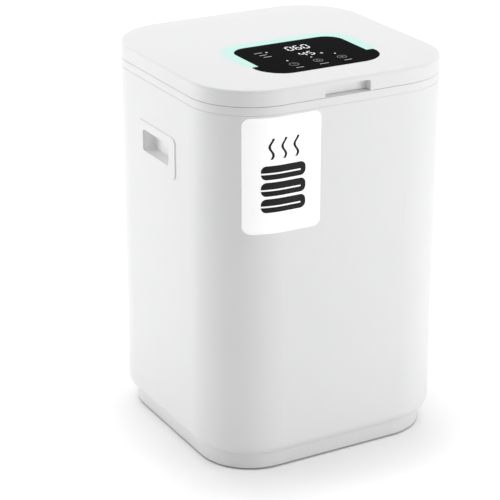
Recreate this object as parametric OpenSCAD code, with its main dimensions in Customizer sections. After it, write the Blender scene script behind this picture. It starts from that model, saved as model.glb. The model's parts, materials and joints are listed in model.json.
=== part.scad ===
/* [Body] */
// Width of the body across the two grips
body_w = 312; // [300:1:330]
// Depth of the body from front to back
body_d = 306; // [296:1:326]
// Radius of the four upright corners, seen from above
corner_r = 76; // [70:1:82]
// Height of the outer shell, from the base tray to the rim
shell_h = 411.5; // [380:0.5:430]
// Thickness of the outer shell
shell_wall = 2.5; // [2:0.1:3]
// Radius that rounds the shell in at its foot
foot_curve_r = 14; // [12:0.5:18]
// How far the shell has drawn in where it meets the base tray
foot_inset = 10; // [7:0.5:10.5]
// Width of the flange inside the shell's foot
foot_flange_w = 17; // [15:0.5:20]
// Thickness of that flange
foot_flange_t = 3; // [2.5:0.1:4]

/* [Base] */
// Height of the base tray's wall
plinth_h = 20; // [14:0.5:24]
// How far the base tray stands back from the shell's foot
plinth_step = 1; // [0.5:0.1:2]
// Thickness of the base tray's wall and floor
tray_wall = 2.5; // [2:0.1:3]
// Height of the rubber ring that shows under the base tray
foot_h = 2; // [1.5:0.1:3]
// Width of the rubber ring
foot_ring_w = 10; // [8:0.5:14]
// How far the rubber ring stands back from the base tray's edge
foot_setback = 13; // [12.5:0.5:16]
// How deep the rubber ring sits in its groove
foot_groove = 1.2; // [0.8:0.1:1.4]

/* [Rim] */
// Height of the rim ring on top of the shell
rim_h = 9.2; // [8:0.1:11]
// Thickness of the rim's top plate
rim_plate = 3; // [2.5:0.1:3.5]
// Thickness of the rim's outer wall
rim_wall = 5; // [4.5:0.1:6]
// Height of the tongue that locates the rim in the shell
tongue_h = 6; // [4:0.5:9]
// Thickness of that tongue
tongue_t = 2; // [1.5:0.1:2.5]
// Depth and height of the shadow groove under the rim
seam = 0.6; // [0.4:0.1:1]

/* [Bucket] */
// Air gap between the shell and the inner bucket
bucket_gap = 27.5; // [27:0.5:32]
// Thickness of the aluminium bucket
bucket_wall = 1.2; // [1:0.1:1.6]
// Radius of the bucket's bottom edge
bucket_bottom_r = 12; // [8:1:16]
// Space between the base tray's floor and the bucket
bucket_space = 53.5; // [52:0.5:60]
// Width of the flange round the bucket's mouth
bucket_flange_w = 14; // [13:0.5:15]
// How far the rim reaches in over the bucket's wall
mouth_lip = 0.8; // [0.5:0.1:1.5]

/* [Heating] */
// Thickness of the heating film round the bucket
film_t = 1.5; // [1:0.1:2]
// Height of the heating film
film_h = 240; // [200:5:260]
// Height of the film's lower edge above the bucket's bottom
film_lift = 52; // [46:1:70]
// Thickness of the insulation jacket
jacket_t = 6.8; // [5:0.1:7]
// Height of the jacket's lower edge above the bucket's bottom
jacket_lift = 42; // [38:1:45]
// Width of the square heating plate under the bucket
plate_heater_w = 140; // [120:2:150]
// Thickness of the heating plate
plate_heater_t = 3; // [2.5:0.1:4]
// Thickness of the insulation under the heating plate
base_wool_t = 8; // [6:0.5:9]

/* [Side grips] */
// Width of a grip's frame
bezel_w = 96; // [92:1:104]
// Height of a grip's frame
bezel_h = 50; // [46:1:56]
// How far a grip's frame stands out
bezel_t = 1.4; // [1:0.1:2.5]
// Corner radius of a grip's frame
bezel_r = 8; // [5:1:12]
// Width of the finger pocket
pocket_w = 65; // [58:1:68]
// Height of the finger pocket's mouth
pocket_h = 25.5; // [20:0.5:27]
// Depth of the finger pocket
pocket_depth = 14; // [13:0.5:18]
// How far the pocket rises behind its mouth
grip_rise = 6; // [4:0.5:8]
// How far the mouth's middle lies above the middle of its frame
mouth_lift = 2; // [0:0.5:2.5]
// Wall of the pocket
cup_wall = 2; // [1.5:0.1:2.5]
// Height of a grip's middle above the shell's foot
handle_lift = 337; // [310:0.5:345]
// Place of a grip's middle, from the middle of the side
handle_y = 5; // [-10:1:10]

/* [Lid] */
// Gap between the rim and the closed lid
lid_gap = 0.5; // [0.4:0.1:1]
// Height of the lid, from its lower edge to its crown
lid_h = 21.8; // [21.8:0.1:26]
// Thickness of the lid's cover
lid_wall = 2.8; // [2.5:0.1:3]
// Radius of the lid's upper edge
edge_r = 4; // [3.5:0.1:5]
// Radius of the slow curve between the lid's edge and its flat middle
crown_r = 400; // [360:10:600]
// Width of that slow curve
crown_run = 50; // [44:1:56]
// Thickness of the inner lid's plate
liner_t = 2.5; // [2.2:0.1:3]
// Wall of the tub that hangs from the inner lid
tub_wall = 2; // [1.5:0.1:2.5]
// Depth of the tub below the rim's top
tub_depth = 10.7; // [8:0.1:14]
// Gap between the tub and the bucket's mouth
tub_gap = 2; // [1.5:0.1:3]
// Width of the lid's seal
gasket_w = 6; // [5:0.5:7]

/* [Finger notch] */
// Width of the finger notch in the lid's front edge
notch_w = 58; // [50:1:72]
// Height of the finger notch
notch_h = 12.2; // [10:0.1:12.6]
// Depth of the finger notch
notch_depth = 10; // [8:0.5:20]
// Radius of the notch's upper corners
notch_r = 3; // [2:0.1:5]
// Length of the thumb hollow on the lid
scoop_w = 55; // [44:1:64]
// Depth of the thumb hollow
scoop_depth = 1.3; // [0.8:0.1:1.4]
// Radius of the thumb hollow's bed
scoop_r = 30; // [24:1:40]
// Distance of the thumb hollow from the lid's front face
scoop_setback = 22; // [21:0.5:24]

/* [Control panel] */
// Width of the panel's back part
panel_w = 140; // [130:1:150]
// Width of the panel's front part
wing_w = 158; // [150:1:166]
// Depth of the whole panel
panel_d = 111; // [100:1:116]
// Depth of the panel's wider front part
wing_d = 38; // [34:1:44]
// Radius of the panel's back corners
panel_back_r = 22; // [16:1:26]
// Radius of the panel's front corners
panel_front_r = 34; // [26:1:34]
// Radius of the small hooks beside the light strip
hook_r = 2.5; // [2:0.1:3]
// Distance of the panel from the lid's front face
panel_setback = 36.5; // [35.5:0.5:42]
// Thickness of the panel's glass
glass_t = 1.8; // [1.5:0.1:2]
// Width of the light strip round the panel
guide_w = 9; // [7:0.5:11]
// Distance from one touch key to the next
key_pitch = 31; // [26:1:34]

/* [Hinge] */
// Outer radius of the hinge barrels
barrel_r = 4.8; // [4.6:0.1:5]
// Depth of the hinge axis below the rim's top
hinge_drop = 3.1; // [3:0.1:3.3]
// Radius of the hinge pins
pin_r = 1.5; // [1.2:0.1:2]
// Distance of each hinge from the middle
hinge_x = 65; // [62:1:68]
// Length of a hinge's middle barrel
knuckle_w = 14; // [12:1:16]
// Length of a hinge's outer barrels
ear_w = 8; // [6:1:9]
// Radius of the wire bundle through the middle barrels
harness_r = 1.5; // [1.2:0.1:1.6]

/* [Label] */
// Length of the label on the flat of the front
label_flat = 46; // [30:1:60]
// Angle that the label wraps round the corner
label_turn = 36; // [20:1:50]
// Height of the label
label_h = 133; // [80:1:145]
// Distance of the label's top below the shell's top
label_drop = 3; // [2:0.5:40]
// Thickness of the label
label_t = 0.25; // [0.15:0.05:0.4]
// Corner radius of the label
label_r = 9; // [5:1:14]

/* [Hidden] */
$fn = 96;

// Gaps between pieces that stay apart or slide together
fit_gap = 0.3;
slip_gap = 0.15;
pin_gap = 0.05;
// How far a cutter runs past the face it cuts
over = 1;

// Heights, counted from the floor
tray_z = foot_h;
floor_z = tray_z + tray_wall;
shell_z = foot_h + plinth_h;
flange_z = shell_z + foot_flange_t;
curve_z = shell_z + round(100 * sqrt(pow(foot_curve_r, 2) - pow(foot_curve_r - foot_inset, 2))) / 100;
rim_z = shell_z + shell_h;
rim_top = rim_z + rim_h;
plate_z = rim_top - rim_plate;
bucket_z = floor_z + bucket_space;
lid_z = rim_top + lid_gap;
top_z = lid_z + lid_h;
handle_z = shell_z + handle_lift;
pocket_z = handle_z + mouth_lift;

// Plan sizes
half_w = body_w / 2;
half_d = body_d / 2;
plinth_in = foot_inset + plinth_step;
bucket_in = shell_wall + bucket_gap;
bucket_half_d = half_d - bucket_in;
bucket_r = corner_r - bucket_in;
mouth_in = bucket_in + bucket_wall + mouth_lip;
flange_in = bucket_in - bucket_flange_w;
film_in = bucket_in - fit_gap;
jacket_in = film_in - film_t - fit_gap;
jacket_z = bucket_z + jacket_lift;

// Lid curve
crown_x = corner_r - edge_r - crown_run;
edge_z = top_z - crown_r + sqrt(pow(crown_r - edge_r, 2) - pow(crown_run, 2));
gasket_t = 1.8;
gasket_groove = 0.8;
gasket_in = mouth_in - gasket_w - 2;
liner_z = rim_top + fit_gap + gasket_t - gasket_groove;
liner_top = liner_z + liner_t;
liner_in = lid_wall + fit_gap;
tub_z = rim_top - tub_depth;
tub_in = mouth_in + tub_gap;
lid_wool_t = 9;
lid_wool_gap = 3;

// Screws
thread_r = 1.5;
head_r = 3;
head_h = 1.8;
washer_r = 4.6;
small_r = 1.25;
small_l = 2.8;
base_screw_l = 15;
base_screw_seat = 6;
liner_bite = 5;
liner_head_h = 1.4;
liner_sink = 1.2;
boss_r = 4.5;
rim_screw_in = rim_wall + boss_r - 0.5;
rim_screw_x = 46;
rim_screw_y = 50;
tower_h = 10;
tower_w = 2 * (rim_screw_in - shell_wall + 1);
bucket_screw_x = 60;
bucket_screw_out = 7.5;
bucket_boss_r = 3;
base_screw_x = 60;
base_screw_in = plinth_in + 8;
column_r = 6.5;
liner_screw_in = 14;
liner_screw_x = 52;
lid_boss_r = 3.5;
handle_boss_r = 3;
handle_screw_y = bezel_w / 2 - 7;
handle_screw_z = bezel_h / 2 - 8;
pocket_r = 4;

// Hinge
hinge_y = half_d;
hinge_z = rim_top - hinge_drop;
barrel_clear_r = barrel_r + fit_gap;
pin_reach = knuckle_w / 2 + fit_gap + ear_w - 1;
arm_depth = 4.4;
arm_rise = 8;
trunnion_end = 36;
block_start = 20;
block_depth = 9;
block_drop = 3;
block_rise = 6;
harness_x = 29;
harness_gap = 0.3;
pocket_wall = 1.4;

// Control panel
panel_y = -half_d + panel_setback;
hook_y = panel_y + wing_d;
glass_z = top_z - glass_t;
seat_t = 1.2;
frame_t = 3.5;
frame_z = glass_z - seat_t - frame_t;
panel_edge = 7;
window_in = 6;
side_w = (wing_w - panel_w) / 2;
stem_share = 5 / 9;
side_stem_w = side_w * stem_share;
back_stem_w = guide_w * stem_share;
stem_start = 8;
side_stem_l = panel_d - wing_d - panel_back_r - 2 * stem_start;
back_stem_l = panel_w - 2 * panel_back_r - stem_start;
led_gap = 0.8;
led_h = 1.5;
led_w = 3;
led_pitch = 12;
stem_z = frame_z + 1;
board_t = 1.6;
board_edge = 8;
board_top = stem_z - led_gap - led_h;
board_x = wing_w / 2 + board_edge;
board_y0 = panel_y + board_edge;
board_y1 = panel_y + panel_d + guide_w + board_edge;
board_screw_in = 6;
guide_x = panel_w / 2 + fit_gap;
guide_back = panel_y + panel_d + fit_gap;

// Places on the display board
digit_h = 18;
digit_w = 12;
digit_row_x = [8.5, 3.5];
digit_row_y = [panel_y + panel_d - 25, panel_y + panel_d - 54];
digit_count = [3, 2];
key_y = panel_y + 27.5;
segment_l = 7;
segment_w = 1.5;
segment_rise = 1;
segment_pitch = 6;
spring_r = 2.5;
spring_foot_r = 4;
spring_head_r = 5;
spring_plate_t = 1;

// Bucket hardware
plate_heater_r = 20;
stud_r = 2;
stud_x = 58;
nut_h = 3.2;
nut_r = 3.5;
cover_t = 1;
wool_z = bucket_z - plate_heater_t - base_wool_t;
cover_z = wool_z - cover_t;
stud_z = cover_z - nut_h - 2;
post_r = 6;
post_x = 92;
post_y = 88;
pad_h = 2;
pad_r = 7.5;
thermostat_r = 8;

// Power board, on the base tray
pcb_x = 62;
pcb_y = [0, 84];
pcb_z = floor_z + 5.5;
pcb_top = pcb_z + board_t;
pcb_screw_in = 5;
standoff_r = 4;
terminal_at = [20, 70];
terminal_size = [40, 12, 14];
lead_r = 0.7;
lead_x = [4, 7];
lead_mid = (lead_x[0] + lead_x[1]) / 2;
lead_h = 8;
lead_hole_y = 42;
lead_hole_r = 3;

// Cord gland
gland_x = 60;
gland_z = shell_z + 30;
gland_r = 6;
gland_bore_r = 3.6;
gland_flange_r = 9;
gland_flange_t = 3;
gland_nut_t = 4;
gland_nut_r = 8;

/* Plan and side outlines */

// Rounded rectangle centred on the origin
module round_rect(w, d, r) {
    square([w - 2 * r, d], center = true);
    square([w, d - 2 * r], center = true);
    for (sx = [-1, 1], sy = [-1, 1]) {
        translate([sx * (w / 2 - r), sy * (d / 2 - r)]) circle(r = r);
    }
}

// Rectangle with one radius at its two front corners and one at its two back corners
module panel_rect(half, y0, y1, front_r, back_r) {
    translate([-half, y0 + front_r]) square([2 * half, y1 - y0 - front_r - back_r]);
    translate([-half + front_r, y0]) square([2 * (half - front_r), front_r]);
    translate([-half + back_r, y1 - back_r]) square([2 * (half - back_r), back_r]);
    for (s = [-1, 1]) {
        translate([s * (half - front_r), y0 + front_r]) intersection() {
            circle(r = front_r);
            translate([-front_r, -front_r]) square([2 * front_r, front_r + 0.5]);
        }
        translate([s * (half - back_r), y1 - back_r]) circle(r = back_r);
    }
}

// Plan of the body drawn in by a distance
module body_plan(inset) {
    round_rect(body_w - 2 * inset, body_d - 2 * inset, corner_r - inset);
}

// Upright ring or plate that follows the body's plan
module body_plate(inset, z, h) {
    translate([0, 0, z]) linear_extrude(h) body_plan(inset);
}

module body_ring(inset, t, z, h) {
    difference() {
        body_plate(inset, z, h);
        body_plate(inset + t, z - over, h + 2 * over);
    }
}

// Solid with a rounded plan whose side follows the children, drawn from the corner's axis out
module swept(w, d, r, z0, z1) {
    for (sx = [0, 1], sy = [0, 1]) {
        mirror([sx, 0, 0]) mirror([0, sy, 0]) translate([w / 2 - r, d / 2 - r, 0])
            rotate_extrude(angle = 90) children();
    }
    for (turn = [0, 180]) {
        rotate([0, 0, turn]) translate([r - w / 2, r - d / 2, 0]) rotate([90, 0, 90])
            mirror([1, 0, 0]) linear_extrude(w - 2 * r) children();
        rotate([0, 0, turn]) translate([w / 2 - r, d / 2 - r, 0]) rotate([90, 0, 0])
            linear_extrude(d - 2 * r) children();
    }
    translate([r - w / 2, r - d / 2, z0]) cube([w - 2 * r, d - 2 * r, z1 - z0]);
}

// Body solid drawn in by a distance, with its side as children
module body_swept(inset, z0, z1) {
    swept(body_w - 2 * inset, body_d - 2 * inset, corner_r - inset, z0, z1) children();
}

// Side of a tub with a rounded bottom edge
module tub_side(r, z0, z1, round_r) {
    translate([0, z0 + round_r]) square([r, z1 - z0 - round_r]);
    translate([0, z0]) square([r - round_r, round_r]);
    translate([r - round_r, z0 + round_r]) circle(r = round_r);
}

// Side of a plate with a rounded top edge
module plate_side(r, z0, z1, round_r) {
    translate([0, z0]) square([r, z1 - z0 - round_r]);
    translate([0, z1 - round_r]) square([r - round_r, round_r]);
    translate([r - round_r, z1 - round_r]) circle(r = round_r);
}

// Side of the outer shell, drawn in by t and cut off below z0
module shell_side(t, z0) {
    translate([0, curve_z]) square([corner_r - t, rim_z - curve_z]);
    translate([0, z0]) square([corner_r - foot_curve_r, curve_z - z0]);
    intersection() {
        translate([corner_r - foot_curve_r, curve_z]) circle(r = foot_curve_r - t);
        translate([corner_r - foot_curve_r, z0]) square([foot_curve_r, curve_z - z0]);
    }
}

// Side of the lid, drawn in by t: upright band, rounded edge, slow curve, flat middle
module lid_side(t, z0) {
    reach = crown_run * (crown_r - t) / (crown_r - edge_r);
    translate([0, z0]) square([corner_r - t, edge_z - z0]);
    translate([0, z0]) square([crown_x, top_z - t - z0]);
    translate([corner_r - edge_r, edge_z]) circle(r = edge_r - t);
    intersection() {
        translate([crown_x, top_z - crown_r]) circle(r = crown_r - t, $fn = 1440);
        translate([crown_x, z0]) square([reach, lid_h + 2 * over]);
    }
}

/* Hardware */

// Pan-head screw with a cross slot, head down at z = 0 and thread up
module screw(length, r = thread_r, cap_r = head_r, cap_h = head_h) {
    cylinder(r = r, h = length);
    difference() {
        translate([0, 0, -cap_h]) cylinder(r = cap_r, h = cap_h);
        for (turn = [0, 90]) {
            rotate([0, 0, turn]) translate([0, 0, -cap_h]) cube([cap_r * 1.1, 0.8, 1.2], center = true);
        }
    }
}

// Round run through a list of points
module run(points, r) {
    for (i = [0 : len(points) - 2]) {
        step = points[i + 1] - points[i];
        length = norm(step);
        translate(points[i]) rotate([0, acos(step[2] / length), atan2(step[1], step[0])])
            cylinder(r = r, h = length, $fn = 24);
    }
    for (i = [1 : len(points) - 2]) {
        translate(points[i]) sphere(r = r, $fn = 24);
    }
}

// Children on the front, back and both sides, drawn in by a distance
module on_walls(x, y, inset) {
    for (s = [-1, 1], sy = [-1, 1]) translate([s * x, sy * (half_d - inset), 0]) children();
    for (s = [-1, 1], sx = [-1, 1]) translate([sx * (half_w - inset), s * y, 0]) children();
}

// Children at the four corners of a rectangle
module at_corners(x, y0, y1) {
    for (s = [-1, 1], y = [y0, y1]) translate([s * x, y, 0]) children();
}

// Cylinder on the hinge axis from x0 to x1
module axle(x0, x1, r) {
    translate([x0, hinge_y, hinge_z]) rotate([0, 90, 0]) cylinder(r = r, h = x1 - x0);
}

// Box given by its lowest and highest corners
module block(low, high) {
    translate(low) cube(high - low);
}

/* Body pieces */

module rim_screw_places() {
    on_walls(rim_screw_x, rim_screw_y, rim_screw_in) children();
}

module bucket_screw_places() {
    on_walls(bucket_screw_x, bucket_screw_x, bucket_in - bucket_screw_out) children();
}

module base_screw_places() {
    on_walls(base_screw_x, base_screw_x, base_screw_in) children();
}

module liner_screw_places() {
    on_walls(liner_screw_x, liner_screw_x, liner_screw_in) children();
}

// Children at the four screws of one grip, on the right side
module handle_screw_places() {
    for (sy = [-1, 1], sz = [-1, 1]) {
        translate([half_w, handle_y + sy * handle_screw_y, handle_z + sz * handle_screw_z])
            rotate([0, 90, 0]) children();
    }
}

// Shelf inside the shell that takes a rim screw from below
module rim_tower() {
    intersection() {
        body_ring(shell_wall - 0.5, rim_screw_in + boss_r - shell_wall + 0.5, rim_z - tower_h, tower_h);
        rim_screw_places() translate([0, 0, rim_z - tower_h]) linear_extrude(tower_h)
            square(tower_w, center = true);
    }
}

module outer_shell() color("white") difference() {
    union() {
        difference() {
            body_swept(0, shell_z, rim_z) shell_side(0, shell_z);
            body_swept(0, flange_z, rim_z + over) {
                shell_side(shell_wall, flange_z);
                translate([0, rim_z]) square([corner_r - shell_wall, over]);
            }
            body_plate(foot_inset + foot_flange_w, shell_z - over, 2 * over + foot_flange_t);
        }
        rim_tower();
        base_screw_places() translate([0, 0, shell_z]) cylinder(r = boss_r, h = 14);
    }
    body_ring(-over, over + seam, rim_z - seam, seam + over);
    rim_screw_places() translate([0, 0, rim_z - tower_h - over])
        cylinder(r = thread_r + slip_gap, h = tower_h + 2 * over);
    base_screw_places() translate([0, 0, shell_z - over])
        cylinder(r = thread_r + pin_gap, h = 11 + over);
    for (side = [0, 1]) mirror([side, 0, 0]) {
        block([half_w - shell_wall - over, handle_y - pocket_w / 2 - cup_wall - fit_gap,
               pocket_z - pocket_h / 2 - cup_wall - fit_gap],
              [half_w + over, handle_y + pocket_w / 2 + cup_wall + fit_gap,
               pocket_z + pocket_h / 2 + cup_wall + grip_rise + fit_gap]);
        handle_screw_places() translate([0, 0, -shell_wall - over])
            cylinder(r = handle_boss_r + slip_gap, h = shell_wall + 2 * over);
    }
    translate([gland_x, half_d - shell_wall - over, gland_z]) rotate([-90, 0, 0])
        cylinder(r = gland_r + slip_gap, h = shell_wall + 2 * over);
    block([-harness_x - 3, half_d - shell_wall - over, rim_z - 2],
          [-harness_x + 3, half_d - 1, rim_z + over]);
}

module base_tray() color("white") difference() {
    union() {
        difference() {
            body_swept(plinth_in, tray_z, shell_z) tub_side(corner_r - plinth_in, tray_z, shell_z, 1.5);
            body_plate(plinth_in + tray_wall, floor_z, plinth_h);
        }
        base_screw_places() translate([0, 0, tray_z]) cylinder(r = column_r, h = plinth_h);
        at_corners(post_x, -post_y, post_y) translate([0, 0, tray_z])
            cylinder(r = post_r, h = bucket_z - pad_h - tray_z);
        at_corners(pcb_x - pcb_screw_in, pcb_y[0] + pcb_screw_in, pcb_y[1] - pcb_screw_in)
            translate([0, 0, tray_z]) cylinder(r = standoff_r, h = pcb_z - tray_z);
    }
    body_ring(plinth_in + foot_setback, foot_ring_w, tray_z - over, foot_groove + over);
    base_screw_places() {
        translate([0, 0, tray_z - over])
            cylinder(r = head_r + fit_gap, h = plinth_h - base_screw_seat + over);
        translate([0, 0, tray_z]) cylinder(r = thread_r + slip_gap, h = plinth_h + over);
    }
    at_corners(pcb_x - pcb_screw_in, pcb_y[0] + pcb_screw_in, pcb_y[1] - pcb_screw_in)
        translate([0, 0, pcb_z - 5]) cylinder(r = thread_r + pin_gap, h = 5 + over);
    for (row = [-2 : 2], s = [-1, 1]) {
        translate([s * 48 - 20, row * 12 - 66, tray_z - over]) cube([40, 4, tray_wall + 2 * over]);
    }
}

module foot_ring() color("dimgray")
    body_ring(plinth_in + foot_setback + slip_gap, foot_ring_w - 2 * slip_gap, 0, foot_h + foot_groove);

// Backing behind the rim's wall where the hinge is let into it
module rim_backing() {
    for (s = [-1, 1]) {
        block([s * hinge_x - knuckle_w / 2 - 3, half_d - rim_wall - 3, rim_z],
              [s * hinge_x + knuckle_w / 2 + 3, half_d - rim_wall + 1, plate_z + 0.5]);
    }
    block([-over, half_d - rim_wall - 3, rim_z], [trunnion_end, half_d - rim_wall + 1, plate_z + 0.5]);
    block([block_start - fit_gap - pocket_wall, half_d - block_depth - 1 - pocket_wall, rim_z],
          [trunnion_end + fit_gap + pocket_wall, half_d - rim_wall + 1, plate_z + 0.5]);
}

// Room in the rim for the lid's barrels and arms
module rim_hinge_room() {
    for (s = [-1, 1]) {
        axle(s * hinge_x - knuckle_w / 2 - fit_gap, s * hinge_x + knuckle_w / 2 + fit_gap, barrel_clear_r);
        block([s * hinge_x - knuckle_w / 2 - fit_gap, hinge_y - barrel_clear_r, hinge_z],
              [s * hinge_x + knuckle_w / 2 + fit_gap, hinge_y + barrel_clear_r, rim_top + over]);
    }
    axle(0, trunnion_end + fit_gap, barrel_clear_r);
    block([0, hinge_y - barrel_clear_r, hinge_z],
          [trunnion_end + fit_gap, hinge_y + barrel_clear_r, rim_top + over]);
    block([block_start - fit_gap, hinge_y - block_depth - 1, hinge_z - block_drop - fit_gap],
          [trunnion_end + fit_gap, hinge_y + barrel_clear_r, rim_top + over]);
}

module rim_frame() color("white") difference() {
    union() {
        difference() {
            union() {
                difference() {
                    body_swept(0, rim_z, rim_top) plate_side(corner_r, rim_z, rim_top, seam);
                    body_plate(rim_wall, rim_z - over, rim_h - rim_plate + over);
                }
                body_ring(shell_wall + fit_gap, tongue_t, rim_z - tongue_h, tongue_h + over);
                rim_backing();
                rim_screw_places() translate([0, 0, rim_z]) cylinder(r = boss_r, h = rim_h - 1);
                bucket_screw_places() translate([0, 0, plate_z - bucket_wall + 0.1])
                    cylinder(r = bucket_boss_r, h = bucket_wall + 1);
            }
            rim_screw_places() translate([0, 0, rim_z - tongue_h - over]) linear_extrude(tongue_h + over)
                square(tower_w + 2 * fit_gap, center = true);
            rim_hinge_room();
        }
        for (s = [-1, 1], e = [-1, 1]) {
            middle = s * hinge_x + e * (knuckle_w + ear_w + 2 * fit_gap) / 2;
            axle(middle - ear_w / 2, middle + ear_w / 2, barrel_r);
        }
        axle(-trunnion_end, -harness_gap, barrel_r);
    }
    body_plate(mouth_in, rim_z - over, rim_h + 2 * over);
    rim_screw_places() translate([0, 0, rim_z - over]) cylinder(r = thread_r + pin_gap, h = 5 + over);
    bucket_screw_places() translate([0, 0, plate_z - bucket_wall - over])
        cylinder(r = small_r + pin_gap, h = small_l + 0.4 + over);
    for (s = [-1, 1]) {
        axle(s * hinge_x - pin_reach, s * hinge_x + pin_reach, pin_r);
    }
    axle(-harness_x - harness_r - 1, over, harness_r + harness_gap);
    translate([-harness_x, hinge_y, hinge_z]) rotate([135, 0, 0])
        cylinder(r = harness_r + 2 * harness_gap, h = 16);
}

module inner_bucket() color("silver") difference() {
    union() {
        body_swept(bucket_in, bucket_z, plate_z) tub_side(bucket_r, bucket_z, plate_z, bucket_bottom_r);
        body_plate(flange_in, plate_z - bucket_wall, bucket_wall);
        at_corners(stud_x, -stud_x, stud_x) translate([0, 0, stud_z])
            cylinder(r = stud_r, h = bucket_z - stud_z + bucket_wall / 2);
    }
    body_swept(bucket_in + bucket_wall, bucket_z + bucket_wall, plate_z + over) tub_side(
        bucket_r - bucket_wall, bucket_z + bucket_wall, plate_z + over, bucket_bottom_r - bucket_wall);
    bucket_screw_places() translate([0, 0, plate_z - bucket_wall - over])
        cylinder(r = bucket_boss_r + slip_gap, h = bucket_wall + 2 * over);
}

module side_heater() color("orange")
    body_ring(film_in - film_t, film_t, bucket_z + film_lift, film_h);

module insulation_jacket() color("khaki")
    body_ring(jacket_in - jacket_t, jacket_t, jacket_z, rim_z - tower_h - jacket_z);

// Square plate with holes for the studs and the thermostat
module stud_plate(z, t) {
    translate([0, 0, z]) linear_extrude(t) difference() {
        round_rect(plate_heater_w, plate_heater_w, plate_heater_r);
        circle(r = thermostat_r + fit_gap);
        at_corners(stud_x, -stud_x, stud_x) circle(r = stud_r + slip_gap);
    }
}

module bottom_heater() color("darkorange")
    stud_plate(bucket_z - plate_heater_t, plate_heater_t);

module bottom_insulation() color("khaki") difference() {
    stud_plate(wool_z, base_wool_t);
    translate([lead_mid, lead_hole_y, wool_z - over]) cylinder(r = lead_hole_r, h = base_wool_t + 2 * over);
}

module heater_cover() color("lightgray") difference() {
    room_w = plate_heater_w + 2 * fit_gap;
    translate([0, 0, cover_z]) linear_extrude(bucket_z - cover_z - 1)
        round_rect(room_w + 2 * cover_t, room_w + 2 * cover_t, plate_heater_r + 2);
    translate([0, 0, wool_z]) linear_extrude(bucket_z - cover_z)
        round_rect(room_w, room_w, plate_heater_r + 1);
    translate([0, 0, cover_z - over]) cylinder(r = thermostat_r + 1, h = cover_t + 2 * over);
    at_corners(stud_x, -stud_x, stud_x) translate([0, 0, cover_z - over])
        cylinder(r = stud_r + slip_gap, h = cover_t + 2 * over);
    translate([lead_mid, lead_hole_y, cover_z - over]) cylinder(r = lead_hole_r, h = cover_t + 2 * over);
}

module stud_nuts() color("silver") at_corners(stud_x, -stud_x, stud_x)
    translate([0, 0, cover_z - nut_h]) difference() {
        cylinder(r = nut_r, h = nut_h, $fn = 6);
        translate([0, 0, -over]) cylinder(r = stud_r + pin_gap, h = nut_h + 2 * over);
    }

module bucket_pads() color("gray") at_corners(post_x, -post_y, post_y)
    translate([0, 0, bucket_z - pad_h]) cylinder(r = pad_r, h = pad_h);

module thermostat() color("saddlebrown") {
    translate([0, 0, cover_z - 4]) cylinder(r = thermostat_r, h = bucket_z - cover_z + 4);
    for (s = [-1, 1]) {
        translate([s * 4 - 2, -3, cover_z - 9]) cube([4, 0.8, 5]);
    }
}

module thermal_fuse() color("ivory") translate([-40, bucket_half_d, bucket_z + 29]) {
    block([-12, 0, -5], [12, 1.5, 5]);
    translate([-7, 3, 0]) rotate([0, 90, 0]) cylinder(r = 2, h = 14);
}

module temperature_sensor() color("black") {
    block([-7, -bucket_half_d - 4, bucket_z + 26], [7, -bucket_half_d, bucket_z + 34]);
    translate([0, -bucket_half_d - 2, bucket_z + 16]) cylinder(r = 1, h = 11);
}

module power_board() color("darkgreen") difference() {
    block([-pcb_x, pcb_y[0], pcb_z], [pcb_x, pcb_y[1], pcb_top]);
    at_corners(pcb_x - pcb_screw_in, pcb_y[0] + pcb_screw_in, pcb_y[1] - pcb_screw_in)
        translate([0, 0, pcb_z - over]) cylinder(r = thread_r + slip_gap, h = board_t + 2 * over);
}

module transformer() color("goldenrod") {
    block([12, 14, pcb_top], [44, 42, pcb_top + 4]);
    block([16, 18, pcb_top + 4], [40, 38, pcb_top + 18]);
    block([12, 14, pcb_top + 18], [44, 42, pcb_top + 22]);
}

module relay() color("royalblue") block([-46, 14, pcb_top], [-27, 29.5, pcb_top + 15.5]);

module terminal_block() color("seagreen") difference() {
    translate([terminal_at[0] - terminal_size[0] / 2, terminal_at[1] - terminal_size[1] / 2, pcb_top])
        cube(terminal_size);
    for (i = [-2 : 2]) {
        translate([terminal_at[0] + i * 7.5, terminal_at[1] - 1, pcb_top + terminal_size[2] - 3])
            cylinder(r = 2.2, h = 4);
    }
}

module power_board_screws() color("silver")
    at_corners(pcb_x - pcb_screw_in, pcb_y[0] + pcb_screw_in, pcb_y[1] - pcb_screw_in)
        translate([0, 0, pcb_top]) mirror([0, 0, 1]) screw(board_t + 4);

// Wires from the heating film and the heating plate to the terminal block
module heater_leads() color("crimson") {
    film_y = bucket_half_d + fit_gap + film_t / 2;
    front = terminal_at[1] - terminal_size[1] / 2;
    back = terminal_at[1] + terminal_size[1] / 2;
    low = pcb_top + lead_h;
    for (x = lead_x) {
        run([[x, film_y, bucket_z + film_lift], [x, film_y, low], [x, back, low]], lead_r);
        run([[x, lead_hole_y, bucket_z - plate_heater_t], [x, lead_hole_y, low], [x, front, low]], lead_r);
    }
}

// Wire bundle from the power board up to the hinge axis
module body_harness() color("dimgray") {
    block([-harness_x - 7, pcb_y[1] - 8, pcb_top], [-harness_x + 7, pcb_y[1] - 1, pcb_top + 8]);
    rise = 9.5;
    inner_y = half_d - foot_inset - foot_flange_w - 9;
    outer_y = hinge_y - rise;
    bend_z = flange_z + 9;
    run([[-harness_x, pcb_y[1] - 1, pcb_top + 3], [-harness_x, inner_y, pcb_top + 3],
         [-harness_x, inner_y, bend_z], [-harness_x, outer_y, bend_z + outer_y - inner_y],
         [-harness_x, outer_y, hinge_z - rise], [-harness_x, hinge_y, hinge_z],
         [-harness_gap / 3, hinge_y, hinge_z]], harness_r);
}

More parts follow.
